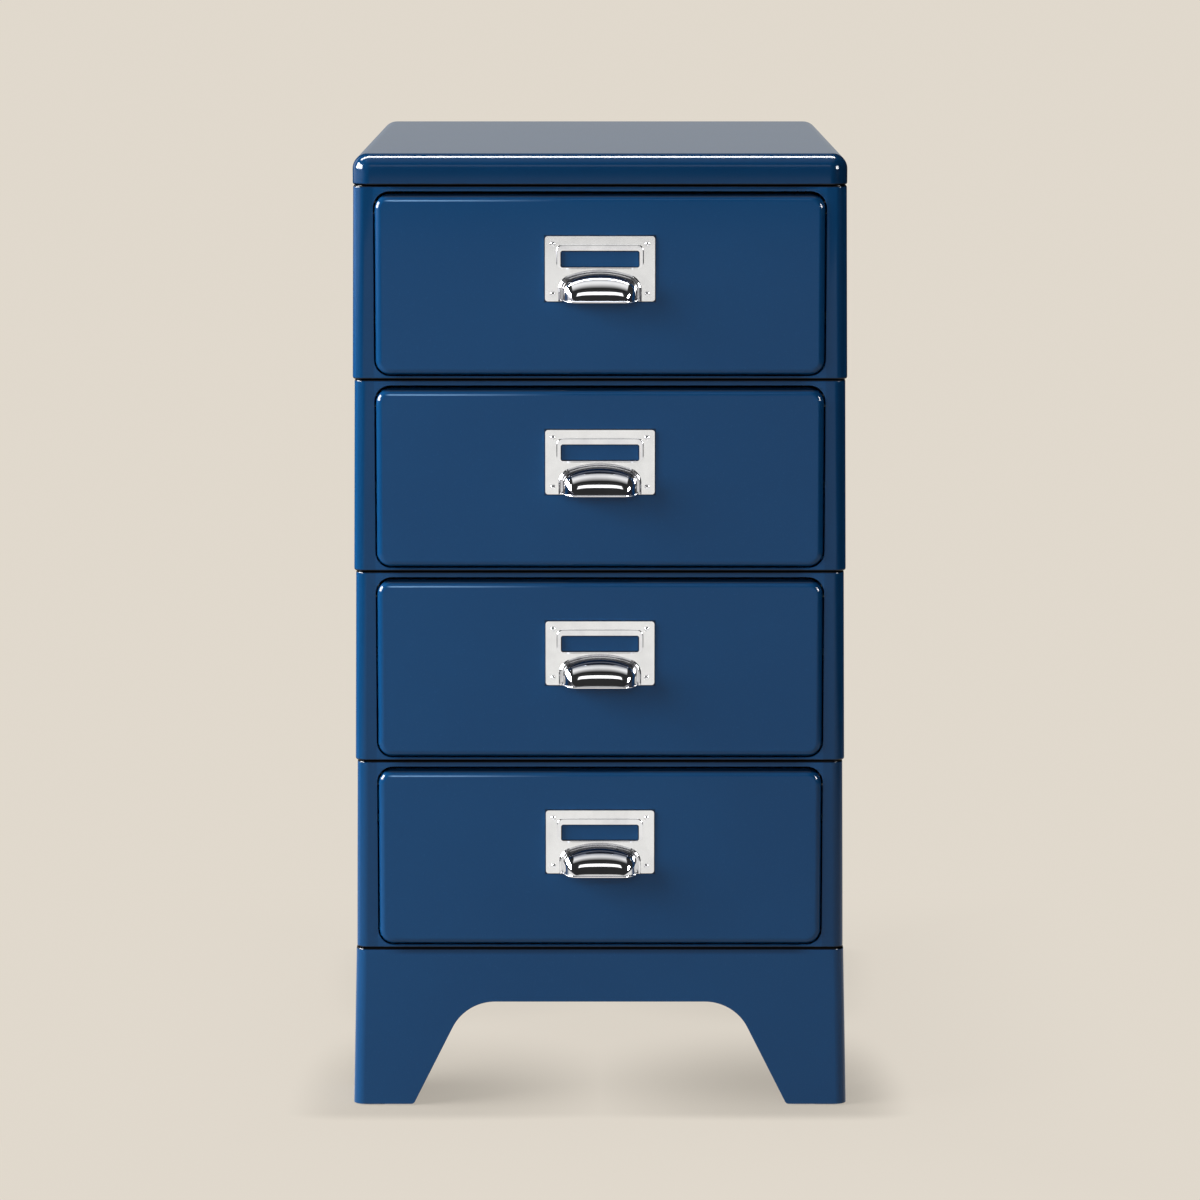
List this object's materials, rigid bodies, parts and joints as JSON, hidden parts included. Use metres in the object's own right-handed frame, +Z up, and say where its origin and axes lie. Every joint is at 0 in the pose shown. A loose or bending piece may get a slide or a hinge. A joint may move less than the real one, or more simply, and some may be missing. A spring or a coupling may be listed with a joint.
{
  "type": "archive_cabinet",
  "caption": "Gloss blue stacked steel archive cabinet with pressed drawer fronts, bright label pulls with finger cups, a rounded lid and a splayed leg base",
  "frame": {"origin": "on the floor, under the middle of the overall box", "axes": "+Z up, the drawers open towards -Y, +X to the right seen from the front"},
  "size_m": [0.2918, 0.4172, 0.561],
  "materials": {
    "blue_paint": "gloss enamel",
    "pull_chrome": "bright nickel chrome",
    "zinc": "bright zinc plate",
    "glide_plastic": "black moulded"
  },
  "bodies": {
    "cabinet": {"lid": "blue_paint", "leg_base": "blue_paint", "foot_glides": "glide_plastic", "stack_bolts": "zinc", "stack_nuts": "zinc", "casing_1": "blue_paint", "casing_2": "blue_paint", "casing_3": "blue_paint", "casing_4": "blue_paint", "floor_1": "blue_paint", "floor_2": "blue_paint", "floor_3": "blue_paint", "floor_4": "blue_paint", "runner_left_1": "zinc", "runner_left_2": "zinc", "runner_left_3": "zinc", "runner_left_4": "zinc", "runner_right_1": "zinc", "runner_right_2": "zinc", "runner_right_3": "zinc", "runner_right_4": "zinc"},
    "drawer_1": {"drawer_tray_1": "blue_paint", "drawer_front_1": "blue_paint", "label_pull_1": "pull_chrome", "pull_rivets_1": "pull_chrome"},
    "drawer_2": {"drawer_tray_2": "blue_paint", "drawer_front_2": "blue_paint", "label_pull_2": "pull_chrome", "pull_rivets_2": "pull_chrome"},
    "drawer_3": {"drawer_tray_3": "blue_paint", "drawer_front_3": "blue_paint", "label_pull_3": "pull_chrome", "pull_rivets_3": "pull_chrome"},
    "drawer_4": {"drawer_tray_4": "blue_paint", "drawer_front_4": "blue_paint", "label_pull_4": "pull_chrome", "pull_rivets_4": "pull_chrome"}
  },
  "joints": [
    {"name": "drawer_1_slide", "type": "slide", "parent": "cabinet", "child": "drawer_1", "axis": [0, -1, 0], "range_m": [0, 0.28]},
    {"name": "drawer_2_slide", "type": "slide", "parent": "cabinet", "child": "drawer_2", "axis": [0, -1, 0], "range_m": [0, 0.28]},
    {"name": "drawer_3_slide", "type": "slide", "parent": "cabinet", "child": "drawer_3", "axis": [0, -1, 0], "range_m": [0, 0.28]},
    {"name": "drawer_4_slide", "type": "slide", "parent": "cabinet", "child": "drawer_4", "axis": [0, -1, 0], "range_m": [0, 0.28]}
  ]
}
